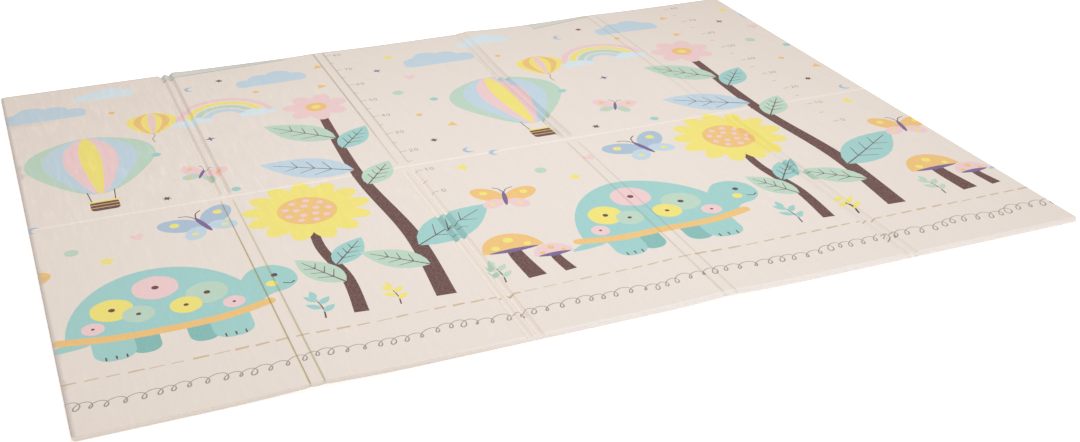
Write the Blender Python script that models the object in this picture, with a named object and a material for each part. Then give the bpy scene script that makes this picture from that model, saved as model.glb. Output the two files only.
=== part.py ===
# Folding baby play mat: one film-covered foam slab, laid out flat, with its fold grooves pressed in.
# Metres, +Z up. The origin is on the floor under the middle of the mat.
# X runs along the long side and Y across it, with the front edge at -Y.

import math

import bmesh
import bpy

MAT_LENGTH = 2.0
MAT_WIDTH = 1.5
MAT_THICKNESS = 0.010
PANELS_LONG = 5
CORNER_RADIUS = 0.009
EDGE_RADIUS = 0.0025
FLAT_CORNER_RADIUS = CORNER_RADIUS - EDGE_RADIUS
# Where a groove leaves thin foam at the edge, each rounding takes at most this share of it.
MOST_ROUNDED = 0.4

# A fold band is a pair of pressed lines, with a narrow strip of foam between them. The lines stand a little
# further apart where their wide grooves are in the underside, and closer where they are in the top.
SLIT_SPACING = 0.025
TROUGH_SPACING = 0.019
GROOVE_HALF_WIDTH = 0.008
GROOVE_DEPTH = 0.0068
STRIP_DROP = 0.0012
SLIT_HALF_WIDTH = 0.0011
SLIT_DEPTH = 0.0012
# How far a pressed line's walls swell out from a plain V, as a share of its depth.
WALL_SWELL = 0.35
# At the mat's front and back edge each line ends in a small notch, this share of the edge radius deep.
NOTCH_SHARE = 0.8

# Across the mat's middle runs one shallow pressed crease, where the pairs of lines change sides.
CREASE_HALF_WIDTH = 0.005
CREASE_DEPTH = 0.0016
SWAP_START = 0.006
SWAP_END = 0.030

# Beside some bands the foam stands a little off the floor. A band is counted from the left, and its side is
# -1 in the front half and 1 in the back half. The lifts are those of its left and right panel, and they grow
# with the distance from the middle crease, from the start to the full one.
LIFT_REACH = 0.17
LIFT_COLUMNS = ("band", "side", "left", "right", "start", "full")
LIFT_ROWS = [
    (0, -1, 0.0040, 0.0044, 0.03, 0.30),
    (2, -1, 0.0042, 0.0038, 0.03, 0.30),
    (1, 1, 0.0022, 0.0026, 0.03, 0.30),
    (3, 1, 0.0024, 0.0020, 0.03, 0.30),
    (0, 1, 0.0000, 0.0045, 0.40, 0.75),
    (2, 1, 0.0004, 0.0055, 0.40, 0.75),
]

# Where the faces of the mesh are divided: beside a band as shares of the lift's reach, across the mat from the
# middle crease, and round a corner or an edge in degrees.
BESIDE_BAND = (0.3, 0.6, 1.0)
ACROSS_MAT = (CREASE_HALF_WIDTH, 0.012, 0.020, SWAP_END, 0.11, 0.20, 0.30, 0.45, 0.62)
ROUND_CORNER = (0, 30, 60, 90)
ROUND_EDGE = (45, 90)
SHARP_ANGLE = 35

COLOUR = (0.80, 0.72, 0.65, 1.0)
ROUGHNESS = 0.55

PANEL = MAT_LENGTH / PANELS_LONG
HALF_LENGTH = MAT_LENGTH / 2
HALF_WIDTH = MAT_WIDTH / 2
BAND_X = [PANEL * k - HALF_LENGTH for k in range(1, PANELS_LONG)]
BAND_HALF_WIDTH = SLIT_SPACING / 2 + GROOVE_HALF_WIDTH


def smooth(value, low, high):
    """0 below low, 1 above high, and an even S between them."""
    t = min(1.0, max(0.0, (value - low) / (high - low)))
    return t * t * (3 - 2 * t)


def groove(distance, half_width):
    """1 in the middle of a pressed line and 0 at its sides, with straight walls and a soft bottom."""
    t = min(1.0, abs(distance) / half_width)
    return (1 - t) * (1 + WALL_SWELL * t)


def opens_down(band, y):
    """Whether a band's grooves are in the underside. They change sides at the crease, like a checkerboard."""
    front = y < 0
    return (band % 2 == 0) == front


def nearest_band(x):
    distances = [abs(x - band_x) for band_x in BAND_X]
    return distances.index(min(distances))


def beside_line(x, y):
    """How far a place is outside its band's nearest pressed line, and less than 0 between the two lines."""
    band = nearest_band(x)
    spacing = SLIT_SPACING if opens_down(band, y) else TROUGH_SPACING
    return abs(x - BAND_X[band]) - spacing / 2


def lift(x, y):
    """How far the foam stands off the floor."""
    band = nearest_band(x)
    across = x - BAND_X[band]
    fall = max(0.0, 1 - max(0.0, abs(across) - BAND_HALF_WIDTH) / LIFT_REACH)
    share = min(1.0, max(0.0, 0.5 + across / (2 * BAND_HALF_WIDTH)))
    total = 0.0
    for values in LIFT_ROWS:
        row = dict(zip(LIFT_COLUMNS, values))
        if row["band"] == band and row["side"] * y > 0:
            height = row["left"] * (1 - share) + row["right"] * share
            total += height * fall * fall * smooth(abs(y), row["start"], row["full"])
    return total


def heights(x, y):
    """The foam's underside and top at one place."""
    beside = beside_line(x, y)
    down = opens_down(nearest_band(x), y)
    strength = smooth(abs(y), SWAP_START, SWAP_END)
    wide = GROOVE_DEPTH * groove(beside, GROOVE_HALF_WIDTH) * strength
    slit = SLIT_DEPTH * groove(beside, SLIT_HALF_WIDTH) * strength
    strip = 0.0 if beside > 0 else STRIP_DROP * strength
    under = lift(x, y)
    top = under + MAT_THICKNESS - CREASE_DEPTH * groove(y, CREASE_HALF_WIDTH)
    if down:
        return under + max(wide, strip), top - slit
    return under, top - max(wide, strip)


def x_stations():
    """Places along the mat, close together where the pressed lines are."""
    offsets = [0.0]
    for line in (SLIT_SPACING / 2, TROUGH_SPACING / 2):
        offsets += [line - GROOVE_HALF_WIDTH, line - GROOVE_HALF_WIDTH / 2, line]
        offsets += [line + GROOVE_HALF_WIDTH / 2, line + GROOVE_HALF_WIDTH]
    offsets += [SLIT_SPACING / 2 - SLIT_HALF_WIDTH, SLIT_SPACING / 2 + SLIT_HALF_WIDTH]
    offsets += [BAND_HALF_WIDTH + LIFT_REACH * share for share in BESIDE_BAND]
    places = set()
    for band_x in BAND_X:
        for offset in offsets:
            places.update((round(band_x - offset, 6), round(band_x + offset, 6)))
    for degrees in ROUND_CORNER:
        edge = HALF_LENGTH - CORNER_RADIUS + FLAT_CORNER_RADIUS * math.sin(math.radians(degrees))
        places.update((round(-edge, 6), round(edge, 6)))
    return sorted(places)


def y_stations():
    """Places across the mat, close together at the middle crease."""
    half = [*ACROSS_MAT, HALF_WIDTH - EDGE_RADIUS]
    return sorted([0.0] + half + [-y for y in half])


def flat_half_width_at(x):
    """Half the width of the mat's flat face at x: less in the rounded corners."""
    past = max(0.0, abs(x) - (HALF_LENGTH - CORNER_RADIUS))
    return HALF_WIDTH - CORNER_RADIUS + math.sqrt(max(0.0, FLAT_CORNER_RADIUS**2 - past**2))


def notch_at(x, y):
    """The share of the edge's rounding that the notch at a pressed line's end takes away."""
    return NOTCH_SHARE * groove(beside_line(x, y), SLIT_HALF_WIDTH)


def moved_out(x, y, amount):
    """A point of the flat face's outline, moved straight out from it."""
    inner_x = HALF_LENGTH - CORNER_RADIUS
    inner_y = HALF_WIDTH - CORNER_RADIUS
    away_x = x - min(inner_x, max(-inner_x, x))
    away_y = y - min(inner_y, max(-inner_y, y))
    length = math.hypot(away_x, away_y)
    return x + away_x / length * amount, y + away_y / length * amount


def edge_steps():
    """The rounded edge's steps from a flat face outwards: how far out and how far up or down, as shares."""
    angles = [math.radians(degrees) for degrees in ROUND_EDGE]
    return [(math.sin(angle), 1 - math.cos(angle)) for angle in angles]


def build_mat():
    mesh = bpy.data.meshes.new("play_mat")
    bm = bmesh.new()
    xs = x_stations()
    ys = y_stations()
    rim = [(i, 0) for i in range(len(xs))]
    rim += [(len(xs) - 1, j) for j in range(1, len(ys))]
    rim += [(i, len(ys) - 1) for i in range(len(xs) - 2, -1, -1)]
    rim += [(0, j) for j in range(len(ys) - 2, 0, -1)]

    def place(i, j):
        return xs[i], ys[j] * flat_half_width_at(xs[i]) / ys[-1]

    top = {}
    under = {}
    for i in range(len(xs)):
        for j in range(len(ys)):
            x, y = place(i, j)
            low, high = heights(x, y)
            top[i, j] = bm.verts.new((x, y, high))
            under[i, j] = bm.verts.new((x, y, low))
    for i in range(len(xs) - 1):
        for j in range(len(ys) - 1):
            corners = [(i, j), (i + 1, j), (i + 1, j + 1), (i, j + 1)]
            bm.faces.new([top[c] for c in corners])
            bm.faces.new([under[c] for c in reversed(corners)])

    rings = [[top[c] for c in rim]]
    steps = [(out, drop, True) for out, drop in edge_steps()]
    steps += [(out, rise, False) for out, rise in reversed(edge_steps())]
    for out, step, upper in steps:
        ring = []
        for c in rim:
            x, y = place(*c)
            low, high = heights(x, y)
            step_height = step * min(EDGE_RADIUS, MOST_ROUNDED * (high - low))
            z = high - step_height if upper else low + step_height
            amount = out * EDGE_RADIUS * (1 - notch_at(x, y))
            ring.append(bm.verts.new((*moved_out(x, y, amount), z)))
        rings.append(ring)
    rings.append([under[c] for c in rim])
    count = len(rim)
    for upper, lower in zip(rings, rings[1:]):
        for k in range(count):
            n = (k + 1) % count
            bm.faces.new([upper[k], lower[k], lower[n], upper[n]])

    bmesh.ops.triangulate(bm, faces=bm.faces[:], quad_method="SHORT_EDGE")
    bm.normal_update()
    bm.to_mesh(mesh)
    bm.free()
    mat = bpy.data.objects.new("play_mat", mesh)
    bpy.context.collection.objects.link(mat)
    mesh.shade_smooth()
    mesh.set_sharp_from_angle(angle=math.radians(SHARP_ANGLE))
    return mat


def printed_film():
    material = bpy.data.materials.new("printed_film")
    material.use_nodes = True
    shader = material.node_tree.nodes["Principled BSDF"]
    shader.inputs["Base Color"].default_value = COLOUR
    shader.inputs["Roughness"].default_value = ROUGHNESS
    shader.inputs["Metallic"].default_value = 0.0
    return material


def main():
    for thing in list(bpy.data.objects):
        bpy.data.objects.remove(thing, do_unlink=True)
    mat = build_mat()
    mat.data.materials.append(printed_film())


main()
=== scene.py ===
# Folding baby play mat, laid out flat: the printed film over its foam, with the pressed fold lines.
# Metres, +Z up. X runs along the mat from left to right and Y across it from the front to the back edge.

import math

import bpy
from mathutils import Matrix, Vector, noise
from mathutils.geometry import delaunay_2d_cdt


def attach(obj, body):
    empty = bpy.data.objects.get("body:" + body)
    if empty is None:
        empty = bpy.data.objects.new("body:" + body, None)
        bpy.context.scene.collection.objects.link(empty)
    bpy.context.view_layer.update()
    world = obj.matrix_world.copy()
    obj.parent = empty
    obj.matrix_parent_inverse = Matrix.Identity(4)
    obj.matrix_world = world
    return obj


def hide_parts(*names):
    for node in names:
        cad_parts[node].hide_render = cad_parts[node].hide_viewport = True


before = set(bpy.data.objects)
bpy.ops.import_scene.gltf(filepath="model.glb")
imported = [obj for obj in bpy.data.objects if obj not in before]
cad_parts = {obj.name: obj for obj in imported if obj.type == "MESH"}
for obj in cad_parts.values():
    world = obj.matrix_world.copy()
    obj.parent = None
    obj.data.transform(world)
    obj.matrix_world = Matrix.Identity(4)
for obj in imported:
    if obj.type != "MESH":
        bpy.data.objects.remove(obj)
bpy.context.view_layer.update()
print("frame loaded")

# The slab has the solid's sizes. Its grooves have softer lips, and its bands lie a little beside their
# even places.
slab = {
    "length": 2.0,
    "width": 1.5,
    "thickness": 0.010,
    "panelsLong": 5,
    "cornerRadius": 0.009,
    "edgeRadius": 0.0025,
    "mostRounded": 0.4,  # of the foam's thickness at the end of a groove
    "waveHeight": 0.0003,  # the slow rolling of the foam's face
    "waveLength": 0.16,
    "waveStretch": 0.7,  # the waves are longer across the mat than along it
    "waveSeed": 0.4,
    "waveFade": (0.004, 0.05),  # they grow between these distances from the edge
    "slopeStep": 0.0004,  # the reach over which a slope is measured
}

folds = {
    "slitSpacing": 0.025,  # between the two lines of a band whose wide grooves are in the underside
    "troughSpacing": 0.019,  # and of one whose wide grooves are in the top
    "grooveHalfWidth": 0.008,
    "grooveDepth": 0.0068,
    "stripDrop": 0.0012,
    "slitHalfWidth": 0.0011,
    "slitDepth": 0.0012,
    "wallSwell": 0.35,
    "lipSoftness": 0.0008,
    "slitSoftness": 0.0002,
    "notchShare": 0.8,  # how much of the edge's rounding a slit's end takes away
    "creaseHalfWidth": 0.005,
    "creaseDepth": 0.0016,
    "swap": (0.006, 0.030),  # the bands change sides between these distances from the middle crease
    "closedShare": 0.8,  # how much the underside's wide grooves close at the front and back edge
    "closedFrom": 0.700,
    "softBand": 2,  # the band whose top grooves, too, close towards the back edge, over a longer way
    "softFrom": 0.54,
}

# Where the foam stands off the floor beside a band. Each row has the band, its side of the middle crease,
# the lifts of its left and right panel, and the distances from the crease between which they grow.
lifts = {
    "reach": 0.17,
    "rows": [
        (0, -1, 0.0040, 0.0044, 0.03, 0.30),
        (2, -1, 0.0042, 0.0038, 0.03, 0.30),
        (1, 1, 0.0022, 0.0026, 0.03, 0.30),
        (3, 1, 0.0024, 0.0020, 0.03, 0.30),
        (0, 1, 0.0000, 0.0045, 0.40, 0.75),
        (2, 1, 0.0004, 0.0055, 0.40, 0.75),
    ],
}

# The dark line along a slit, and the yellowed halo to the left of it. The line is painted shade in the slit
# over the creased film's own darker tone. Each row is a band's left or right line. It has the ink, how
# strong it is at the middle crease and further out, how far out that is, its half width and its halo's
# share.
lines = {
    "haloPlace": 0.0036,
    "haloHalfWidth": 0.0040,
    "haloTint": (1.03, 1.0, 0.84),
    "rows": {
        (0, -1): ("olive", 0.58, 0.78, 0.22, 0.0023, 0.72),
        (0, 1): ("olive", 0.30, 0.55, 0.70, 0.0030, 0.60),
        (1, -1): ("shadeUmber", 0.14, 0.62, 0.42, 0.0030, 0.40),
        (1, 1): ("shadeUmber", 0.22, 0.49, 0.60, 0.0036, 0.35),
        (2, -1): ("shadeUmber", 0.24, 0.25, 0.40, 0.0038, 0.30),
        (2, 1): ("shadeUmber", 0.20, 0.24, 0.40, 0.0032, 0.30),
        (3, -1): ("shadeUmber", 0.05, 0.25, 0.40, 0.0034, 0.25),
        (3, 1): ("shadeUmber", 0.05, 0.27, 0.40, 0.0034, 0.25),
    },
}

# How the print's tone changes in the grooves in the top: painted light and shade.
troughs = {
    "gains": (0.0, 0.02, -0.05, -0.04),  # painted light and shade: how much lighter the ground is, in each band
    "flankLight": (0.0, 0.08, 0.0, 0.0),  # and the painted light on the right flanks of the grooves
    "flankPlace": 0.0045,
    "flankHalfWidth": 0.0055,
    "deepShade": 0.95,  # painted shade: how much darker a deeper ink is, up to the most
    "mostShade": 0.24,
    # the middle crease is painted lighter: partly a painted highlight, partly the stretched film's
    # whitening
    "creaseGain": 1.07,
    "creaseLift": 0.015,
}

# How far the bands lie to the right of their even places, at five places across the mat.
drifts = {
    "reach": 0.18,
    "places": (-0.75, -0.375, 0, 0.375, 0.75),
    "rows": [
        (0, 0, 0, 0, 0),
        (-0.004, -0.001, 0, 0, 0),
        (-0.0125, -0.0105, -0.0045, -0.008, -0.001),
        (-0.006, -0.006, -0.005, -0.007, -0.0065),
    ],
}

halfLength = slab["length"] / 2
halfWidth = slab["width"] / 2
panel = slab["length"] / slab["panelsLong"]
bandPlaces = [panel * k - halfLength for k in range(1, slab["panelsLong"])]
bandHalfWidth = folds["slitSpacing"] / 2 + folds["grooveHalfWidth"]
flatRadius = slab["cornerRadius"] - slab["edgeRadius"]
cornerX = halfLength - slab["cornerRadius"]
cornerY = halfWidth - slab["cornerRadius"]
flatX = cornerX + flatRadius
flatY = cornerY + flatRadius


def smooth(value, low, high):
    t = min(1.0, max(0.0, (value - low) / (high - low)))
    return t * t * (3 - 2 * t)


def pressed(distance, halfSpan):
    # 1 at the bottom of a pressed line and 0 at its sides
    t = min(1.0, abs(distance) / halfSpan)
    return (1 - t) * (1 + folds["wallSwell"] * t)


def softPressed(distance, halfSpan, softness):
    beside = pressed(distance - softness, halfSpan) + pressed(distance + softness, halfSpan)
    return (2 * pressed(distance, halfSpan) + beside) / 4


def nearestBand(x):
    distances = [abs(x - place) for place in bandPlaces]
    return distances.index(min(distances))


def opensDown(band, y):
    # the wide grooves are in the underside of every other half band, like a checkerboard
    return (band % 2 == 0) == (y < 0)


def besideLine(x, y):
    # how far a place is outside its band's nearest pressed line, and less than 0 between the two lines
    band = nearestBand(x)
    spacing = folds["slitSpacing" if opensDown(band, y) else "troughSpacing"]
    return abs(x - bandPlaces[band]) - spacing / 2


def drift(x, y):
    # how far the mat lies to the right of its even place
    band = nearestBand(x)
    fall = smooth(drifts["reach"] - abs(x - bandPlaces[band]), 0.0, drifts["reach"] - bandHalfWidth)
    row = drifts["rows"][band]
    shift = row[0]
    for k, (low, high) in enumerate(zip(drifts["places"], drifts["places"][1:])):
        shift += (row[k + 1] - row[k]) * smooth(y, low, high)
    return shift * fall


def pastLine(x, y):
    # how far a place is to the right of its band's nearest pressed line
    band = nearestBand(x)
    return besideLine(x, y) * (1 if x > bandPlaces[band] else -1)


def bandStrength(y):
    return smooth(abs(y), *folds["swap"])


def lift(x, y):
    band = nearestBand(x)
    across = x - bandPlaces[band]
    fall = max(0.0, 1 - max(0.0, abs(across) - bandHalfWidth) / lifts["reach"])
    share = min(1.0, max(0.0, 0.5 + across / (2 * bandHalfWidth)))
    total = 0.0
    for rowBand, side, left, right, start, full in lifts["rows"]:
        if rowBand == band and side * y > 0:
            height = left * (1 - share) + right * share
            total += height * fall * fall * smooth(abs(y), start, full)
    return total


def closed(x, y):
    # how far the wide grooves close near the front and back edge
    band = nearestBand(x)
    if opensDown(band, y):
        return folds["closedShare"] * smooth(abs(y), folds["closedFrom"], cornerY)
    if band == folds["softBand"]:
        return folds["closedShare"] * smooth(y, folds["softFrom"], cornerY)
    return 0.0


def heights(x, y):
    # the underside and the top of the foam at one place
    beside = besideLine(x, y)
    strength = bandStrength(y)
    lip, slitLip = folds["lipSoftness"], folds["slitSoftness"]
    wide = folds["grooveDepth"] * strength * softPressed(beside, folds["grooveHalfWidth"], lip)
    slit = folds["slitDepth"] * strength * softPressed(beside, folds["slitHalfWidth"], slitLip)
    strip = 0.0 if beside > 0 else folds["stripDrop"] * strength
    crease = folds["creaseDepth"] * softPressed(y, folds["creaseHalfWidth"], lip)
    under = lift(x, y)
    top = under + slab["thickness"] - crease
    hollow = max(wide, strip) * (1 - closed(x, y))
    if opensDown(nearestBand(x), y):
        return under + hollow, top - slit
    return under, top - hollow


def topHeight(x, y):
    inside = min(halfLength - abs(x), halfWidth - abs(y))
    length = slab["waveLength"]
    place = Vector((x / length, y / length * slab["waveStretch"], slab["waveSeed"]))
    wave = slab["waveHeight"] * noise.noise(place) * smooth(inside, *slab["waveFade"])
    return heights(x, y)[1] + wave


def slopeNormal(x, y, height):
    step = slab["slopeStep"]
    slopeX = (height(x + step, y) - height(x - step, y)) / (2 * step)
    slopeY = (height(x, y + step) - height(x, y - step)) / (2 * step)
    return Vector((-slopeX, -slopeY, 1)).normalized()


# The print's colours as they are seen in plain white light, and the colours of the painted light and shade
# at the slits and the edge.
inks = {
    "ground": "E7DCD3",
    "teal": "A0CDC9",
    "tealDeep": "86BAB5",
    "mint": "BCD4C2",
    "sky": "C0D3DF",
    "blue": "ABBFD2",
    "yellow": "EFE07A",
    "orange": "EDC17C",
    "pink": "ECCACB",
    "brown": "6D504D",
    "purple": "7B6796",
    "dark": "574C53",
    "greyLine": "9F958C",
    "dash": "D0B897",
    "number": "988F86",
    "cloud": "D6E4EA",
    # painted light on the front edge
    "side": "F3EEEB",
    # painted shade in the slits, over the creased film's own darker tone
    "olive": "9B8C57",
    "shadeUmber": "968A7D",
    # painted shade on the left and back edge
    "rim": "B3ACA9",
    # a painted shadow line at the foot of the edge
    "foot": "DBD5CE",
    "pale": "D7D7CE",
    "stripLine": "B6BAB1",
}


def linear(code):
    values = [int(code[k : k + 2], 16) / 255 for k in (0, 2, 4)]
    return [v / 12.92 if v <= 0.04045 else ((v + 0.055) / 1.055) ** 2.4 for v in values]


inkColours = {name: linear(code) for name, code in inks.items()}


# Shapes of the print. Each is a closed line of points that goes round once.
def smoothLine(points, steps, closed=False):
    # a line that runs smoothly through the points
    count = len(points)
    line = []
    for k in range(count if closed else count - 1):
        near = (k - 1, k, k + 1, k + 2)
        near = [i % count if closed else min(max(i, 0), count - 1) for i in near]
        before, here, there, after = (points[i] for i in near)
        for step in range(steps):
            t = step / steps
            place = []
            for a, b, c, d in zip(before, here, there, after):
                bend = (2 * a - 5 * b + 4 * c - d) * t * t + (3 * b - 3 * c + d - a) * t**3
                place.append(b + ((c - a) * t + bend) / 2)
            line.append(tuple(place))
    if not closed:
        line.append(tuple(points[-1]))
    return line


def blob(points, steps=6):
    return smoothLine(points, steps, closed=True)


def oval(x, y, across, up, turn, count):
    cosine, sine = math.cos(math.radians(turn)), math.sin(math.radians(turn))
    points = []
    for k in range(count):
        angle = 2 * math.pi * k / count
        a, b = across * math.cos(angle), up * math.sin(angle)
        points.append((x + a * cosine - b * sine, y + a * sine + b * cosine))
    return points


def disc(x, y, radius, count):
    return oval(x, y, radius, radius, 0, count)


def roundedBox(left, low, right, high, radius):
    points = []
    corners = ((right, low, -90), (right, high, 0), (left, high, 90), (left, low, 180))
    for x, y, start in corners:
        centreX = x - radius if x == right else x + radius
        centreY = y - radius if y == high else y + radius
        for step in range(6):
            angle = math.radians(start + 18 * step)
            points.append((centreX + radius * math.cos(angle), centreY + radius * math.sin(angle)))
    return points


def dome(x, y, across, up):
    # a half oval on a straight foot
    angles = [math.pi * k / 26 for k in range(27)]
    return [(x + across * math.cos(a), y + up * math.sin(a)) for a in angles]


def leafShape(length, width, count=9):
    def edge(t):
        return width / 2 * math.sin(math.pi * t**0.85) ** 0.9

    lower = [(length * k / count, -edge(k / count)) for k in range(count)]
    upper = [(length * k / count, edge(k / count)) for k in range(count, 0, -1)]
    return lower + upper


def starShape(radius, inner=0.45, tips=5):
    points = []
    for k in range(tips * 2):
        reach = radius if k % 2 == 0 else radius * inner
        angle = math.pi / 2 + math.pi * k / tips
        points.append((reach * math.cos(angle), reach * math.sin(angle)))
    return points


def heartShape(size):
    outline = [(0, -1), (0.55, -0.45), (0.95, 0.15), (0.75, 0.72), (0.3, 0.75), (0, 0.38)]
    outline += [(-0.3, 0.75), (-0.75, 0.72), (-0.95, 0.15), (-0.55, -0.45)]
    return [(x * size / 2, y * size / 2) for x, y in blob(outline, 3)]


def moonShape(radius):
    outer = [math.radians(d) for d in range(50, 311, 13)]
    inner = [math.radians(d) for d in range(263, 90, -12)]
    points = [(radius * math.cos(a), radius * math.sin(a)) for a in outer]
    return points + [(radius * (0.45 + 0.79 * math.cos(a)), radius * 0.79 * math.sin(a)) for a in inner]


def ribbon(points, width, endWidth=None):
    # a drawn line, as a chain of triangles; a list gives its width at each point
    count = len(points)
    widths = width
    if not isinstance(width, list):
        change = 0.0 if endWidth is None else endWidth - width
        widths = [width + change * k / (count - 1) for k in range(count)]
    left, right = [], []
    for k in range(count):
        ahead, behind = points[min(count - 1, k + 1)], points[max(0, k - 1)]
        alongX, alongY = ahead[0] - behind[0], ahead[1] - behind[1]
        length = math.hypot(alongX, alongY)
        half = widths[k] / 2
        sideX, sideY = -alongY / length * half, alongX / length * half
        left.append((points[k][0] + sideX, points[k][1] + sideY))
        right.append((points[k][0] - sideX, points[k][1] - sideY))
    pieces = []
    for k in range(count - 1):
        pieces += [[right[k], right[k + 1], left[k + 1]], [right[k], left[k + 1], left[k]]]
    return pieces


def drawn(ink, points, width, endWidth=None):
    return [(ink, piece) for piece in ribbon(points, width, endWidth)]


def moved(parts, x, y, size=1.0, turn=0.0, flip=False):
    angle = math.radians(turn)
    cosine, sine = math.cos(angle) * size, math.sin(angle) * size
    result = []
    for ink, points in parts:
        if flip:
            points = [(-a, b) for a, b in points]
        turned = [(x + a * cosine - b * sine, y + a * sine + b * cosine) for a, b in points]
        result.append((ink, turned))
    return result


# The motifs, each drawn standing on its own zero point.
def leaf(length, width, ink):
    parts = [(ink, leafShape(length, width))]
    parts += drawn("brown", [(-0.004, 0), (length * 0.4, 0.0), (length * 0.86, 0)], 0.0034, 0.0016)
    for k in range(3):
        start = length * (0.24 + 0.18 * k)
        reach = width * (0.34 - 0.05 * k)
        for side in (-1, 1):
            parts += drawn("brown", [(start, 0), (start + reach * 0.9, side * reach)], 0.0022, 0.0014)
    return parts


def turtle():
    parts = [("tealDeep", roundedBox(x, 0.006, x + 0.054, 0.11, 0.024)) for x in (-0.078, 0.024)]
    tail = [(-0.15, 0.115), (-0.185, 0.085), (-0.222, 0.06), (-0.185, 0.058), (-0.14, 0.07)]
    parts += [("teal", blob(tail))]
    neck = [(0.1, 0.06), (0.15, 0.076), (0.186, 0.112), (0.226, 0.124), (0.25, 0.152), (0.248, 0.192)]
    neck += [(0.22, 0.22), (0.18, 0.22), (0.152, 0.192), (0.138, 0.15), (0.1, 0.14)]
    parts += [("teal", blob(neck))]
    parts += [("teal", roundedBox(x, 0, x + 0.074, 0.12, 0.03)) for x in (-0.142, 0.066)]
    parts += [("teal", dome(-0.005, 0.078, 0.178, 0.222))]
    for x, y, radius, ink in (
        (-0.005, 0.226, 0.044, "pink"),
        (-0.092, 0.172, 0.04, "yellow"),
        (0.082, 0.172, 0.04, "mint"),
        (-0.048, 0.142, 0.03, "mint"),
        (0.038, 0.142, 0.03, "yellow"),
        (-0.132, 0.118, 0.021, "pink"),
        (0.122, 0.118, 0.021, "pink"),
    ):
        parts += [(ink, blob(oval(x, y, radius, radius, 30, 6), 4))]
        parts += [("brown", oval(x, y, radius * 0.16, radius * 0.16, 0, 12))]
    rim = [(-0.196, 0.092), (-0.1, 0.074), (0, 0.07), (0.1, 0.074), (0.184, 0.092)]
    parts += drawn("orange", smoothLine(rim, 8), 0.022)
    parts += [("orange", disc(x, 0.092, 0.011, 16)) for x in (-0.195, 0.183)]
    for foot in (-0.105, 0.103):
        for toe in (-0.018, 0, 0.018):
            parts += drawn("brown", [(foot + toe, 0.004), (foot + toe, 0.016)], 0.003)
    parts += [("dark", disc(0.212, 0.182, 0.0065, 16)), ("yellow", disc(0.2, 0.152, 0.011, 18))]
    parts += drawn("dark", smoothLine([(0.221, 0.148), (0.234, 0.143), (0.244, 0.15)], 4), 0.0028)
    return parts


def around(x, y, reach, count, start):
    # even places on a ring, each with its angle
    for k in range(count):
        angle = 360 / count * k + start
        turn = math.radians(angle)
        yield x + reach * math.cos(turn), y + reach * math.sin(turn), angle


def sunflower():
    stem = smoothLine([(0, 0), (0.01, 0.13), (-0.006, 0.27), (0.01, 0.42)], 8)
    parts = drawn("brown", stem, 0.028, 0.018)
    parts += moved(leaf(0.135, 0.066, "mint"), 0.004, 0.115, 1, 122)
    parts += moved(leaf(0.12, 0.06, "teal"), 0.004, 0.185, 1, 50)
    for x, y, angle in around(0.01, 0.43, 0.09, 13, 0):
        parts += [("yellow", oval(x, y, 0.044, 0.024, angle, 20))]
    parts += [("orange", disc(0.01, 0.43, 0.062, 36))]
    for reach, count, start in ((0.045, 9, 0), (0.022, 5, 20)):
        for x, y, _ in around(0.01, 0.43, reach, count, start):
            parts += [("pink", disc(x, y, 0.0075, 12))]
    return parts


def tallPlant():
    stem = smoothLine([(0, 0), (0.014, 0.25), (-0.008, 0.55), (0.004, 0.9)], 9)
    parts = drawn("brown", stem, 0.04, 0.02)
    for x, y, length, width, turn, ink in (
        (0.012, 0.2, 0.225, 0.104, 32, "teal"),
        (0.01, 0.12, 0.15, 0.07, 140, "mint"),
        (-0.002, 0.5, 0.125, 0.066, 52, "mint"),
        (-0.008, 0.58, 0.215, 0.1, 152, "sky"),
        (-0.002, 0.7, 0.13, 0.068, 50, "teal"),
        (0, 0.76, 0.19, 0.09, 138, "mint"),
    ):
        parts += moved(leaf(length, width, ink), x, y, 1, turn)
    for x, y, angle in around(0.004, 0.955, 0.046, 7, 12):
        parts += [("pink", oval(x, y, 0.034, 0.023, angle, 20))]
    parts += [("orange", disc(0.004, 0.955, 0.026, 22)), ("yellow", disc(0.004, 0.955, 0.011, 14))]
    return parts


def mushroom(height, cap, ink, spotInk):
    stem = smoothLine([(0.004, 0), (-0.002, height * 0.5), (0, height * 0.8)], 5)
    parts = drawn("brown", stem, cap * 0.3, cap * 0.2)
    foot = height * 0.66
    parts += [(ink, dome(0, foot, cap / 2, height * 0.4))]
    gills = [(-cap * 0.42, foot), (0, foot - 0.008), (cap * 0.42, foot), (0, foot + 0.006)]
    parts += [("purple", blob(gills))]
    for x, y, r in ((-0.26, 0.1, 0.07), (0.02, 0.24, 0.085), (0.27, 0.09, 0.06)):
        parts += [(spotInk, disc(cap * x, foot + height * y, cap * r, 14))]
    return parts


def butterfly(upper, lower, spot):
    parts = []
    for side in (-1, 1):
        tilt = 90 - side * 52
        parts += [(upper, oval(side * 0.036, 0.024, 0.04, 0.025, tilt, 24))]
        parts += [(lower, oval(side * 0.027, -0.019, 0.026, 0.018, 90 + side * 48, 20))]
        parts += [(spot, disc(side * 0.043, 0.031, 0.0085, 14))]
        parts += [(spot, disc(side * 0.029, -0.021, 0.0055, 12))]
        feeler = smoothLine([(0, 0.03), (side * 0.008, 0.048), (side * 0.022, 0.056)], 4)
        parts += drawn("dark", feeler, 0.0022)
    return parts + [("purple", oval(0, 0.004, 0.0052, 0.032, 0, 20))]


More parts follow.
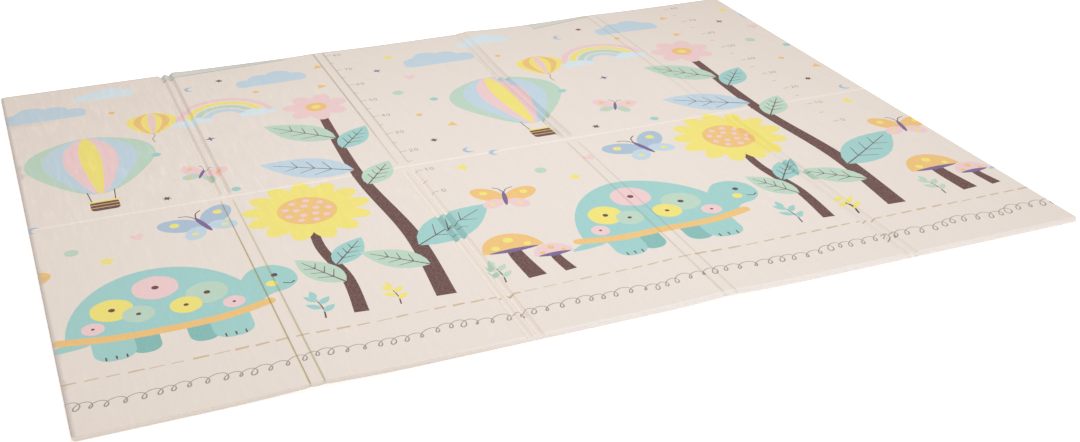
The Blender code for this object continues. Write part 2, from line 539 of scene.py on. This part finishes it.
def airBalloon(radius, colours, basket=True):
    def skin(share):
        # narrower stripes stand in front of the wider ones
        points = [(1, 0.05), (0.8, 0.64), (0, 1), (-0.8, 0.64), (-1, 0.05)]
        points += [(-0.66, -0.62), (-0.2, -1.1), (0.2, -1.1), (0.66, -0.62)]
        return [(x * share * radius, y * radius) for x, y in blob(points)]

    parts = [(ink, skin(share)) for ink, share in zip(colours, (1, 0.72, 0.42, 0.16))]
    if not basket:
        string = [(0, -1.08), (0.05, -1.35), (-0.05, -1.65), (0.03, -2)]
        string = [(x * radius, y * radius) for x, y in smoothLine(string, 5)]
        return parts + drawn("greyLine", string, 0.0022)
    for side in (-1, 1):
        rope = [(side * radius * 0.2, -radius * 1.06), (side * radius * 0.17, -radius * 1.44)]
        parts += drawn("dark", rope, 0.0022)
    low, high, half = -radius * 1.72, -radius * 1.42, radius * 0.21
    parts += [("brown", roundedBox(-half, low, half, high, radius * 0.07))]
    for k in (1, 2):
        level = low + (high - low) * k / 3
        parts += drawn("orange", [(-half, level), (half, level)], 0.0028)
    parts += drawn("yellow", [(-half * 1.12, high), (half * 1.12, high)], 0.007)
    return parts


def cloudShape(ink):
    puffs = [(-0.062, 0.004, 0.026), (-0.026, 0.022, 0.034), (0.02, 0.016, 0.03), (0.06, 0.002, 0.022)]
    parts = [(ink, disc(x, y, radius, 26)) for x, y, radius in puffs]
    return parts + [(ink, roundedBox(-0.088, -0.022, 0.082, 0.01, 0.015))]


def rainbow():
    parts = []
    for ink, radius in (("pink", 0.11), ("yellow", 0.088), ("mint", 0.066), ("sky", 0.044)):
        parts += drawn(ink, dome(0, 0, radius, radius), 0.016)
    for x in (-0.078, 0.078):
        parts += moved(cloudShape("cloud"), x, 0, 0.52)
    return parts


def sprig(ink):
    parts = drawn("brown", smoothLine([(0, 0), (0.004, 0.035), (-0.002, 0.075)], 5), 0.0036, 0.002)
    for y, turn in ((0.022, 40), (0.034, 140), (0.05, 45), (0.06, 132)):
        parts += moved([(ink, leafShape(0.034, 0.016, 6))], 0.002, y, 1, turn)
    return parts + moved([(ink, leafShape(0.032, 0.015, 6))], -0.002, 0.07, 1, 92)


def confetti():
    # small shapes that are strewn between the motifs
    return [
        ("yellow", starShape(0.018)),
        ("pink", heartShape(0.030)),
        ("teal", disc(0, 0, 0.0105, 18)),
        ("orange", starShape(0.015, 0.5, 3)),
        ("blue", moonShape(0.014)),
        ("purple", starShape(0.013, 0.34, 4)),
        ("mint", disc(0, 0, 0.014, 20)),
        ("orange", disc(0, 0, 0.008, 16)),
        ("brown", starShape(0.011, 0.42, 6)),
    ]


# One repeat of the print is a metre wide. Its zero point is on the mat's front edge.
garden = {
    "repeat": 1.0,
    "copies": (-1, 0, 1, 2),
    "rulerX": 0.812,
    "rulerTick": 0.017,
    "tickRise": 0.002,
    "shortTick": 0.62,
    "rulerMarks": (0.607, 0.719, 0.827, 0.931, 1.036, 1.139, 1.249, 1.357, 1.466),
    "numberHeight": 0.0125,
    "numberWidth": 0.0016,
    "numberGap": 0.006,
    "numberPitch": 0.92,
}

# The dashed line and the line of loops along the front edge, drawn as if by hand.
border = {
    "dashLine": 0.1535,
    "dashLength": 0.025,
    "dashPeriod": 0.0365,
    "dashWidth": 0.0044,
    "dashStart": 0.002,
    "dashRises": ((0, -0.0005), (0.5, 0.0003), (1, 0.0006)),
    "dashTaper": 0.8,
    "dashSways": (0.003, 0.006, 0.9, 0.004),  # of a dash's start, length, width and level
    "loopLine": 0.082,
    "loopPeriod": 0.0272,
    "loopWidths": (0.0020, 0.0031),  # on the arcs and in the loops
    "loopSteps": 16,
    "loopStart": 0.012,
    "loopAcross": 0.0098,
    "loopUp": 0.0104,
    "loopLean": 0.35,
    "loopGrowth": 0.22,  # how much larger the loops are at the mat's right end
    "loopDrift": 0.0036,
    "loopSway": 0.014,
}

# Pale strips along parts of the back edge, each deeper at its left end.
strips = {
    "starts": (0.389, 1.403),
    "ends": (0.708, 1.588),
    "depths": (0.041, 0.014),
    "overhang": 0.01,
    "frontLine": (0.0042, 0.0030),  # the widths of its lines at their left and right ends
    "backLine": (0.0046, 0.0020),
    "backLinePlace": 0.0035,
}

digits = {
    "0": [(0.3, 1), (0.05, 0.75), (0, 0.4), (0.2, 0), (0.45, 0.05), (0.6, 0.5), (0.5, 0.9), (0.28, 1)],
    "1": [(0.12, 0.74), (0.32, 1), (0.3, 0.5), (0.3, 0)],
    "2": [(0, 0.75), (0.15, 0.98), (0.45, 0.95), (0.52, 0.68), (0.3, 0.35), (0, 0.02), (0.6, 0.03)],
    "3": [(0.02, 0.9), (0.35, 1), (0.5, 0.75), (0.22, 0.53), (0.55, 0.3), (0.35, 0), (0, 0.08)],
    "4": [(0.42, 0), (0.43, 1), (0, 0.36), (0.62, 0.35)],
    "5": [(0.5, 1), (0.1, 0.98), (0.06, 0.58), (0.4, 0.6), (0.55, 0.3), (0.35, 0), (0, 0.06)],
    "6": [(0.45, 1), (0.1, 0.6), (0.02, 0.25), (0.25, 0), (0.52, 0.2), (0.4, 0.48), (0.05, 0.35)],
    "7": [(0, 0.97), (0.58, 1), (0.34, 0.5), (0.2, 0)],
    "8": [(0.42, 0.9), (0.1, 0.85), (0.3, 0.53), (0.56, 0.24), (0.28, 0), (0.02, 0.24), (0.3, 0.53)]
    + [(0.44, 0.86)],
}


def ruler():
    # ticks with plain numbers, and a shorter tick halfway to the next one
    parts = []
    marks, tick, rise = garden["rulerMarks"], garden["rulerTick"], garden["tickRise"]
    height, width = garden["numberHeight"], garden["numberWidth"]
    for k, level in enumerate(marks):
        parts += drawn("number", [(0, level - rise / 2), (tick, level + rise / 2)], width)
        right = tick + garden["numberGap"]
        foot = level - height / 2
        for sign in str(10 * k):
            line = [(right + a * height, foot + b * height) for a, b in smoothLine(digits[sign], 4)]
            parts += drawn("number", line, width)
            right += height * garden["numberPitch"]
        if k + 1 < len(marks):
            middle = (level + marks[k + 1]) / 2
            parts += drawn("number", [(0, middle), (tick * garden["shortTick"], middle)], width)
    return parts


# Where the small shapes lie.
scatter = [(0.915, 0.7), (0.96, 0.78), (0.905, 0.86), (0.975, 0.93), (0.92, 1.01), (0.985, 1.09)]
scatter += [(0.915, 1.16), (0.975, 1.25), (0.91, 1.32), (0.965, 1.4), (0.44, 1.37), (0.52, 1.405)]
scatter += [(0.75, 1.27), (0.24, 1.3), (0.3, 1.02), (0.07, 0.62), (0.2, 0.64), (0.43, 1.06)]
scatter += [(0.13, 0.56), (0.01, 0.745), (0.285, 0.79), (0.775, 1.4), (0.59, 1.3), (0.43, 0.78)]


def oneRepeat():
    parts = []
    # each motif with its place, its size, its turn and whether it is flipped
    for motif, *place in (
        (cloudShape("sky"), 0.090, 1.335, 1.15),
        (cloudShape("cloud"), 0.235, 1.415, 0.85, 0, True),
        (cloudShape("sky"), 0.640, 1.360, 1.05, 0, True),
        (airBalloon(0.142, ("mint", "sky", "pink", "yellow")), 0.160, 1.030),
        (airBalloon(0.058, ("yellow", "orange", "yellow", "pink"), False), 0.320, 1.205, 1, -6),
        (rainbow(), 0.490, 1.170),
        (turtle(), 0.205, 0.198),
        (sunflower(), 0.535, 0.195),
        (tallPlant(), 0.700, 0.195),
        (mushroom(0.170, 0.125, "orange", "yellow"), 0.880, 0.195),
        (mushroom(0.105, 0.082, "pink", "orange"), 0.948, 0.195),
        (sprig("teal"), 0.468, 0.195),
        (sprig("yellow"), 0.610, 0.195, 0.85),
        (sprig("mint"), 0.820, 0.195, 0.9),
        (butterfly("blue", "sky", "yellow"), 0.335, 0.640, 1.15, 18),
        (butterfly("orange", "pink", "yellow"), 0.945, 0.520, 1.0, -14),
        (butterfly("pink", "mint", "orange"), 0.375, 0.880, 0.75, -24),
    ):
        parts += moved(motif, *place)
    pieces = confetti()
    for k, (x, y) in enumerate(scatter):
        parts += moved([pieces[(k * 4) % len(pieces)]], x, y, 1, (k * 37) % 50 - 25)
    return parts + moved(ruler(), garden["rulerX"], 0)


def wander(x, size, seed):
    # a slow drift by hand
    return size * noise.noise(Vector((x * 7, seed, 0.5)))


def borderLines():
    parts = []
    step = border["dashPeriod"]
    startSway, lengthSway, widthSway, levelSway = border["dashSways"]
    for k in range(int(slab["length"] / step) + 1):
        start = k * step + border["dashStart"] + wander(k * step, startSway, 2.1)
        length = border["dashLength"] + wander(k * 0.31, lengthSway, 3.7)
        width = border["dashWidth"] * (1 + wander(k * 0.43, widthSway, 8.3))
        level = border["dashLine"] + wander(start, levelSway, 5.2)
        line = [(start + length * share, level + rise) for share, rise in border["dashRises"]]
        parts += drawn("dash", line, width, width * border["dashTaper"])
    turns = int(slab["length"] / border["loopPeriod"]) + 4
    steps = border["loopSteps"]
    thin, thick = border["loopWidths"]
    line, widths = [], []
    for k in range(turns * steps):
        t = k / steps
        turn = 2 * math.pi * t
        grow = 1 + 0.16 * math.sin(t * 1.9) * math.sin(t * 0.37 + 1) + 0.10 * math.sin(t * 2.7)
        grow *= 1 + border["loopGrowth"] * smooth(t, turns * 0.55, turns)
        x = t * border["loopPeriod"] + border["loopDrift"] * math.sin(t * 1.3 + 1) - border["loopStart"]
        x -= border["loopAcross"] * grow * math.sin(turn + border["loopLean"])
        y = border["loopLine"] - border["loopUp"] * grow * math.cos(turn)
        line.append((x, y + wander(t * 0.05, border["loopSway"], 6.6)))
        widths.append(thin + (thick - thin) * smooth(math.cos(turn), -0.3, 0.9))
    return parts + drawn("greyLine", line, widths)


def backStrips():
    parts = []
    deep, shallow = strips["depths"]
    back = slab["width"]
    far, near = back + strips["overhang"], back - strips["backLinePlace"]
    for left, right in zip(strips["starts"], strips["ends"]):
        front = [(left, back - deep), (right, back - shallow)]
        parts += [("pale", front + [(right, far), (left, far)])]
        parts += drawn("stripLine", front, *strips["frontLine"])
        parts += drawn("stripLine", [(left, near), (right, near)], *strips["backLine"])
    return parts


def wholePrint():
    # everything that is printed, in the mat's own place
    parts = backStrips() + borderLines()
    repeat = oneRepeat()
    for copy in garden["copies"]:
        parts += moved(repeat, copy * garden["repeat"], 0)
    result = []
    for ink, points in parts:
        points = [(x - halfLength, y - halfWidth) for x, y in points]
        xs, ys = zip(*points)
        inLength = min(xs) <= halfLength and max(xs) >= -halfLength
        if inLength and min(ys) <= halfWidth and max(ys) >= -halfWidth:
            result.append((ink, points))
    return result


# Where the faces are divided.
divisions = {
    "besideSlit": (0, 0.0006, 0.0013, 0.002, 0.0045, 0.008, 0.0088),
    "besideTrough": (0, 0.0006, 0.002, 0.0045, 0.0068, 0.008, 0.0088),
    "besideCrease": (0, 0.001, 0.002, 0.003, 0.004, 0.0048, 0.0058),
    "pastCrease": (0.008, 0.011, 0.015, 0.02, 0.025, 0.03, 0.036),
    "panelStep": 0.029,
    "widthStep": 0.042,
    "cornerSteps": 8,
    "edgeAngles": (22.5, 45, 67.5, 90),
    "decimals": 6,
    "smallestArea": 1e-9,
    "mergeDistance": 1e-7,
}


def spread(low, high, step):
    # evenly spaced places between two ends, without the ends
    count = max(1, math.ceil((high - low) / step))
    return [low + (high - low) * k / count for k in range(1, count)]


def rounded(values):
    return [round(value, divisions["decimals"]) for value in values]


def divisionPlaces():
    beside = set()
    for spacing, offsets in (("slitSpacing", "besideSlit"), ("troughSpacing", "besideTrough")):
        middle = folds[spacing] / 2
        beside.update(rounded(middle + sign * offset for offset in divisions[offsets] for sign in (-1, 1)))
    beside = sorted(beside | {0.0} | {-value for value in beside})
    foldXs = rounded(place + value for place in bandPlaces for value in beside)
    ends = [-cornerX] + foldXs + [cornerX]
    looseXs = [-cornerX, cornerX]
    for low, high in zip(ends, ends[1:]):
        looseXs += rounded(spread(low, high, divisions["panelStep"]))
    near = divisions["besideCrease"] + divisions["pastCrease"]
    creaseYs = sorted(set(near) | {-value for value in near})
    outer = rounded(spread(near[-1], cornerY, divisions["widthStep"]) + [cornerY])
    return foldXs, sorted(looseXs), creaseYs, sorted(outer + [-y for y in outer])


def outlinePoints(xs, ys):
    # the edge of the mat's flat face, from the front left corner round to the right
    steps = divisions["cornerSteps"]
    sides = (
        [(x, -flatY) for x in xs],
        [(flatX, y) for y in ys],
        [(x, flatY) for x in reversed(xs)],
        [(-flatX, y) for y in reversed(ys)],
    )
    corners = ((cornerX, -cornerY), (cornerX, cornerY), (-cornerX, cornerY), (-cornerX, -cornerY))
    points = []
    for quarter, (side, (x, y)) in enumerate(zip(sides, corners)):
        points += side
        for k in range(1, steps):
            angle = math.radians(90 * quarter - 90 + 90 * k / steps)
            points.append((x + flatRadius * math.cos(angle), y + flatRadius * math.sin(angle)))
    return points


class Plan:
    # a flat drawing that is cut into triangles along all of its lines
    def __init__(self):
        self.spots = []
        self.known = {}
        self.lines = []
        self.shapes = []

    def spot(self, point):
        key = tuple(rounded(point))
        if key not in self.known:
            self.known[key] = len(self.spots)
            self.spots.append(Vector(key))
        return self.known[key]

    def addLine(self, points):
        ids = [self.spot(point) for point in points]
        self.lines += [(a, b) for a, b in zip(ids, ids[1:]) if a != b]

    def addShape(self, points):
        # goes round to the left, and is left out where it is too small to have an inside
        ids = list(dict.fromkeys(self.spot(point) for point in points))
        corners = [self.spots[number] for number in ids]
        area = sum(a.x * b.y - a.y * b.x for a, b in zip(corners, corners[1:] + corners[:1])) / 2
        if abs(area) < divisions["smallestArea"]:
            return False
        self.shapes.append(ids if area > 0 else ids[::-1])
        return True

    def cut(self):
        # each triangle that is kept is inside the first shape, and comes with the last shape over it
        result = delaunay_2d_cdt(self.spots, self.lines, self.shapes, 0, divisions["mergeDistance"])
        spots, _, faces, spotOrigins, _, faceOrigins = result
        kept = [(face, max(owners)) for face, owners in zip(faces, faceOrigins) if 0 in owners]
        return spots, kept, spotOrigins


def drawGrid(plan, outline):
    foldXs, looseXs, creaseYs, looseYs = divisionPlaces()
    plan.addShape(outline)
    xs, ys = sorted(foldXs + looseXs), sorted(creaseYs + looseYs)
    for x in xs:
        for y in ys:
            plan.spot((x, y))
    for x in foldXs:
        plan.addLine([(x, -flatY)] + [(x, y) for y in ys] + [(x, flatY)])
    for y in creaseYs:
        plan.addLine([(-flatX, y)] + [(x, y) for x in xs] + [(flatX, y)])


def edgeLoop(faces):
    # the outer edge of a flat sheet of faces, in order
    used = {(face[k - 1], face[k]) for face in faces for k in range(len(face))}
    ahead = {a: b for a, b in used if (b, a) not in used}
    start = min(ahead)
    loop = [start]
    while ahead[loop[-1]] != start:
        loop.append(ahead[loop[-1]])
    return loop


def outwards(x, y):
    awayX = x - min(cornerX, max(-cornerX, x))
    awayY = y - min(cornerY, max(-cornerY, y))
    return Vector((awayX, awayY, 0)).normalized()


def notch(x, y):
    return folds["notchShare"] * pressed(besideLine(x, y), folds["slitHalfWidth"])


def mixed(first, second, share):
    return [a + (b - a) * share for a, b in zip(first, second)]


# The film where it is wrapped round the edge, with painted light and shade on it.
edgeFilm = {
    "pale": (-0.55, 0.0),  # painted light: along the front edge it grows paler between these places
    # the painted highlight on the rounded edge
    "gain": 1.05,
    "footFade": 0.8,  # how much of the painted shadow line at its foot is lost there
    "printFade": 0.6,  # how much of the edge's painted light and shade the print takes on close to it
    "wrapAngles": (20, 70),  # the print gives way to it between these slopes
    "footAngles": (60, 90),
    "footShare": 0.4,  # how much of the painted shadow line's ink is on the upper half of the rounding
}


def wrapInk(x, y):
    # painted light makes it paler towards the right, and painted shade a little greyer at the left end and
    # the back
    away = outwards(x, y)
    ground = [value * edgeFilm["gain"] for value in inkColours["ground"]]
    front = mixed(ground, inkColours["side"], smooth(x, *edgeFilm["pale"]))
    return mixed(front, inkColours["rim"], min(1.0, max(0.0, away.y - away.x)))


def edgeInk(printed, x, y, wrapped, low):
    # from the print over the film that is wrapped round the edge, with its painted light and shade, to the
    # painted shadow line at its foot
    colour = mixed(printed, wrapInk(x, y), wrapped)
    dark = (1 - edgeFilm["footFade"] * smooth(x, *edgeFilm["pale"])) if y < 0 else 1.0
    return mixed(colour, inkColours["foot"], low * dark)


def lined(colour, x, y):
    # the print along a slit, darkened by painted shade in the slit over the creased film's own tone
    band = nearestBand(x)
    side = 1 if x > bandPlaces[band] else -1
    ink, near, far, reach, halfSpan, haloShare = lines["rows"][band, side]
    halo = max(0.0, 1 - abs(pastLine(x, y) + lines["haloPlace"]) / lines["haloHalfWidth"])
    yellowed = [a * b for a, b in zip(colour, lines["haloTint"])]
    colour = mixed(colour, yellowed, halo * haloShare * bandStrength(y))
    # the line along the slit: painted shade in it, over the creased film's own tone
    shadedLine = max(0.0, 1 - abs(besideLine(x, y)) / halfSpan)
    shadedLine *= near + (far - near) * smooth(abs(y), 0.0, reach)
    return mixed(colour, inkColours[ink], shadedLine * bandStrength(y))


def sunk(colour, x, y):
    # the print in a groove in the top, with painted shade and painted light on it
    band = nearestBand(x)
    deeper = max(0.0, 1 - max(colour) / max(inkColours["ground"]))
    gain = troughs["gains"][band] - min(troughs["mostShade"], troughs["deepShade"] * deeper)
    gain *= pressed(besideLine(x, y), folds["grooveHalfWidth"])
    flank = pressed(pastLine(x, y) - troughs["flankPlace"], troughs["flankHalfWidth"])
    gain += troughs["flankLight"][band] * flank
    return [value * (1 + gain * bandStrength(y)) for value in colour]


def pressAndPaintedLight(colour, x, y):
    # how the pressed lines and the edge change the print's colour, mostly with painted light and shade
    change = lined if opensDown(nearestBand(x), y) else sunk
    colour = change(colour, x, y)
    # the middle crease, lighter: partly a painted highlight, partly the stretched film's whitening
    lighter = [value * troughs["creaseGain"] + troughs["creaseLift"] for value in colour]
    colour = mixed(colour, lighter, pressed(y, folds["creaseHalfWidth"]))
    # painted light pales it close to the front edge, except at the left, and painted shade greys it at the
    # left and back edge
    pale = smooth(-y, cornerY, flatY) * smooth(x, *edgeFilm["pale"])
    grey = max(smooth(y, cornerY, flatY), smooth(-x, cornerX, flatX))
    colour = mixed(colour, inkColours["side"], edgeFilm["printFade"] * pale)
    return mixed(colour, inkColours["rim"], edgeFilm["printFade"] * grey)


def buildMat():
    # the printed top, its rounded edge and the underside, as one closed mesh
    foldXs, looseXs, creaseYs, looseYs = divisionPlaces()
    outline = outlinePoints(sorted(foldXs + looseXs), sorted(creaseYs + looseYs))
    plan = Plan()
    drawGrid(plan, outline)
    shapeInks = ["ground"] + [ink for ink, points in wholePrint() if plan.addShape(points)]
    print("print drawn,", len(shapeInks), "shapes")
    spots, kept, _ = plan.cut()
    print("top cut,", len(kept), "triangles")

    places, normals, faces, colours = [], [], [], []
    number = {}
    for face, owner in kept:
        for spot in face:
            if spot not in number:
                x, y = spots[spot]
                number[spot] = len(places)
                places.append((x, y, topHeight(x, y)))
                normals.append(slopeNormal(x, y, topHeight))
        faces.append([number[spot] for spot in face])
        ink = inkColours[shapeInks[owner]]
        colours.append([pressAndPaintedLight(ink, *spots[spot]) for spot in face])

    loop = edgeLoop(faces)
    sideInk = {}
    for face, corners in zip(faces, colours):
        for k in range(len(face)):
            sideInk[face[k - 1], face[k]] = corners[k - 1], corners[k]
    edge = slab["edgeRadius"]
    rings = [loop]
    ringTints = [(0.0, 0.0)]
    upper = [(angle, True) for angle in divisions["edgeAngles"]]
    lower = [(angle, False) for angle in reversed(divisions["edgeAngles"])]
    for degrees, isUpper in upper + lower:
        angle = math.radians(degrees)
        ring = []
        for spot in loop:
            x, y, _ = places[spot]
            under, high = heights(x, y)
            away = outwards(x, y)
            reach = edge * math.sin(angle) * (1 - notch(x, y))
            drop = (1 - math.cos(angle)) * min(edge, slab["mostRounded"] * (high - under))
            z = high - drop if isUpper else under + drop
            ring.append(len(places))
            places.append((x + away.x * reach, y + away.y * reach, z))
            up = math.cos(angle) * (1 if isUpper else -1)
            normals.append((away * math.sin(angle) + Vector((0, 0, up))).normalized())
        rings.append(ring)
        # the painted light and shade of the wrapped film, and the painted shadow line at its foot
        wrapped = smooth(degrees, *edgeFilm["wrapAngles"])
        low = edgeFilm["footShare"] * smooth(degrees, *edgeFilm["footAngles"])
        ringTints.append((wrapped, low) if isUpper else (1.0, 1.0))
    ring = []
    for spot in loop:
        x, y, _ = places[spot]
        ring.append(len(places))
        places.append((x, y, heights(x, y)[0]))
        normals.append(Vector((0, 0, -1)))
    rings.append(ring)
    ringTints.append((1.0, 1.0))
    for j in range(len(loop)):
        n = (j + 1) % len(loop)
        printed = sideInk[loop[j], loop[n]]
        spots = (places[loop[j]][:2], places[loop[n]][:2])
        for k in range(len(rings) - 1):
            faces.append([rings[k][j], rings[k + 1][j], rings[k + 1][n], rings[k][n]])
            corners = ((0, k), (0, k + 1), (1, k + 1), (1, k))
            tints = [edgeInk(printed[end], *spots[end], *ringTints[level]) for end, level in corners]
            colours.append(tints)

    plan = Plan()
    drawGrid(plan, [places[spot][:2] for spot in ring])
    spots, kept, origins = plan.cut()
    firstSpot = {plan.spot(places[spot][:2]): spot for spot in ring}
    number = {}
    for face, _ in kept:
        for spot in face:
            if spot in number:
                continue
            onEdge = [firstSpot[origin] for origin in origins[spot] if origin in firstSpot]
            number[spot] = onEdge[0] if onEdge else len(places)
            if not onEdge:
                x, y = spots[spot]
                places.append((x, y, heights(x, y)[0]))
                normals.append(-slopeNormal(x, y, lambda a, b: heights(a, b)[0]))
        faces.append([number[spot] for spot in reversed(face)])
        colours.append([inkColours["ground"]] * len(face))
    print("edge and underside made,", len(faces), "faces")

    places = [(x + drift(x, y), y, z) for x, y, z in places]
    mesh = bpy.data.meshes.new("printed_mat")
    mesh.from_pydata(places, [], faces)
    mesh.polygons.foreach_set("use_smooth", [True] * len(faces))
    ink = mesh.color_attributes.new(name="ink", type="FLOAT_COLOR", domain="CORNER")
    flat = [value for corners in colours for colour in corners for value in (*colour, 1.0)]
    ink.data.foreach_set("color", flat)
    mesh.update()
    mesh.normals_split_custom_set_from_vertices(normals)
    mat = bpy.data.objects.new("printed_mat", mesh)
    bpy.context.scene.collection.objects.link(mat)
    return mat


film = {
    "roughness": 0.48,
    "roughnessChange": 0.07,
    "specular": 0.24,
    "waveAcross": 0.0105,  # the size of a wave of the embossing along X and along Y
    "waveAlong": 0.080,
    "waveHeight": 0.00034,
    "tickAcross": 0.0045,
    "tickAlong": 0.0026,
    "tickHeight": 0.00014,
    "shadeChange": 0.028,  # painted shade and light: the tone's rise and fall with the waves
    "glintChange": 0.036,  # painted glints on the crests
    "glintsOnLight": 0.010,  # painted glints of the fine embossing, which are added to every ink
    "glintsOnDark": 0.050,
    "greyRange": (0.08, 0.70),  # the dark and the light inks' greys
    "noiseRange": (0.3, 0.7),
    "waveDetail": 2.0,
    "tickDetail": 1.0,
    "distortion": 0.7,
    "glintRange": (0.60, 0.74),
    "calmShare": 0.33,  # how much of the painted streaks is left on the other panels
    "calmX": (-0.65, -0.15),
    "calmY": (-0.30, 0.15),
}


def setInputs(node, values):
    for name, value in values.items():
        node.inputs[name].default_value = value


def filmMaterial():
    material = bpy.data.materials.new("printed_film")
    material.use_nodes = True
    nodes, link = material.node_tree.nodes, material.node_tree.links.new
    shader = nodes["Principled BSDF"]
    setInputs(shader, {"Specular IOR Level": film["specular"]})
    coordinates = nodes.new("ShaderNodeTexCoord").outputs["Object"]
    inkNode = nodes.new("ShaderNodeAttribute")
    inkNode.attribute_name = "ink"
    ink = inkNode.outputs["Color"]

    def stretchedNoise(across, along, detail):
        stretch = nodes.new("ShaderNodeMapping")
        setInputs(stretch, {"Scale": (1 / across, 1 / along, 1)})
        link(coordinates, stretch.inputs["Vector"])
        pattern = nodes.new("ShaderNodeTexNoise")
        bend = film["distortion"]
        setInputs(pattern, {"Scale": 1.0, "Detail": detail, "Roughness": 0.5, "Distortion": bend})
        link(stretch.outputs["Vector"], pattern.inputs["Vector"])
        return pattern.outputs["Fac"]

    def ranged(source, limits, results):
        change = nodes.new("ShaderNodeMapRange")
        setInputs(change, {"From Min": limits[0], "From Max": limits[1]})
        setInputs(change, {"To Min": results[0], "To Max": results[1]})
        link(source, change.inputs["Value"])
        return change.outputs["Result"]

    def joined(operation, first, second):
        result = nodes.new("ShaderNodeMath")
        result.operation = operation
        link(first, result.inputs[0])
        link(second, result.inputs[1])
        return result.outputs["Value"]

    def raised(pattern, height):
        bump = nodes.new("ShaderNodeBump")
        setInputs(bump, {"Strength": 1.0, "Distance": height})
        link(pattern, bump.inputs["Height"])
        return bump

    waves = stretchedNoise(film["waveAcross"], film["waveAlong"], film["waveDetail"])
    ticks = stretchedNoise(film["tickAcross"], film["tickAlong"], film["tickDetail"])
    waveRelief = raised(waves, film["waveHeight"])
    tickRelief = raised(ticks, film["tickHeight"])
    link(waveRelief.outputs["Normal"], tickRelief.inputs["Normal"])
    link(tickRelief.outputs["Normal"], shader.inputs["Normal"])

    # the waves of the embossing, painted into the tone as shade and glints
    span, change = film["noiseRange"], film["shadeChange"]
    shade = ranged(waves, span, (-change, change))
    glint = ranged(waves, film["glintRange"], (0.0, film["glintChange"]))
    # the painted sheen of the streaks shows more on the panels at the back left
    axes = nodes.new("ShaderNodeSeparateXYZ")
    link(coordinates, axes.inputs["Vector"])
    calm = film["calmShare"]
    leftward = ranged(axes.outputs["X"], film["calmX"], (1.0, calm))
    backward = ranged(axes.outputs["Y"], film["calmY"], (calm, 1.0))
    corner = joined("MINIMUM", leftward, backward)
    streaks = joined("MULTIPLY", joined("ADD", shade, glint), corner)
    tone = nodes.new("ShaderNodeMath")
    link(streaks, tone.inputs[0])
    tone.inputs[1].default_value = 1.0
    shaded = nodes.new("ShaderNodeVectorMath")
    shaded.operation = "SCALE"
    link(ink, shaded.inputs[0])
    link(tone.outputs["Value"], shaded.inputs["Scale"])

    # painted glints: fine specks of light from the embossing, stronger on the dark inks
    grey = nodes.new("ShaderNodeRGBToBW")
    link(ink, grey.inputs["Color"])
    strength = ranged(grey.outputs["Val"], film["greyRange"], (film["glintsOnDark"], film["glintsOnLight"]))
    glintSpecks = joined("MULTIPLY", ranged(ticks, span, (-1.0, 1.0)), strength)
    colour = nodes.new("ShaderNodeVectorMath")
    link(shaded.outputs["Vector"], colour.inputs[0])
    link(glintSpecks, colour.inputs[1])
    link(colour.outputs["Vector"], shader.inputs["Base Color"])

    rough, change = film["roughness"], film["roughnessChange"]
    link(ranged(ticks, span, (rough - change, rough + change)), shader.inputs["Roughness"])
    return material


mat = buildMat()
mat.data.materials.append(filmMaterial())
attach(mat, "root")
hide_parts("play_mat")
print("mat made")

studio = {
    "floorSize": 14.0,
    "floorLevel": -0.0002,  # a hair below the mat, so that no two faces share a place
    "floorColour": (0.97, 0.97, 0.97, 1),
    "floorRoughness": 0.9,
    "floorGlow": 0.42,
    "worldColour": (0.97, 0.79, 0.68, 1),
    "worldStrength": 0.56,
    "keyPlace": (0.14, -0.26, 3.0),
    "keySize": 1.4,
    "keyColour": (1.03, 1.26, 1.39),
    "keyPower": 49.0,
    "lens": 46.618,
    "sensor": 36.0,
    "cameraPlace": (-1.0267, -2.6717, 1.3349),
    "cameraTarget": (-0.0934, -0.3227, 0.0100),
    "cameraRoll": -0.198,
    "shiftX": 0.03279,
}


def makeStudio():
    bpy.ops.object.select_all(action="DESELECT")
    bpy.ops.mesh.primitive_plane_add(size=studio["floorSize"], location=(0, 0, studio["floorLevel"]))
    floor = bpy.context.object
    floor.name = "floor"
    material = bpy.data.materials.new("floor")
    material.use_nodes = True
    shader = material.node_tree.nodes["Principled BSDF"]
    setInputs(shader, {"Base Color": studio["floorColour"], "Roughness": studio["floorRoughness"]})
    setInputs(shader, {"Specular IOR Level": 0.0})
    setInputs(shader, {"Emission Color": (1, 1, 1, 1), "Emission Strength": studio["floorGlow"]})
    floor.data.materials.append(material)

    world = bpy.data.worlds.new("studio")
    world.use_nodes = True
    sky = world.node_tree.nodes["Background"]
    setInputs(sky, {"Color": studio["worldColour"], "Strength": studio["worldStrength"]})
    bpy.context.scene.world = world

    bpy.ops.object.light_add(type="AREA", location=studio["keyPlace"])
    key = bpy.context.object
    key.name = "key"
    key.data.size = studio["keySize"]
    key.data.color = studio["keyColour"]
    key.data.energy = studio["keyPower"]

    bpy.ops.object.camera_add(location=studio["cameraPlace"])
    camera = bpy.context.object
    camera.name = "camera"
    camera.data.lens = studio["lens"]
    camera.data.sensor_width = studio["sensor"]
    camera.data.shift_x = studio["shiftX"]
    direction = Vector(studio["cameraTarget"]) - Vector(studio["cameraPlace"])
    camera.rotation_euler = direction.to_track_quat("-Z", "Y").to_euler()
    camera.rotation_euler.rotate_axis("Z", math.radians(studio["cameraRoll"]))
    bpy.context.scene.camera = camera
    bpy.context.scene.view_settings.view_transform = "Standard"


makeStudio()
print("studio made")
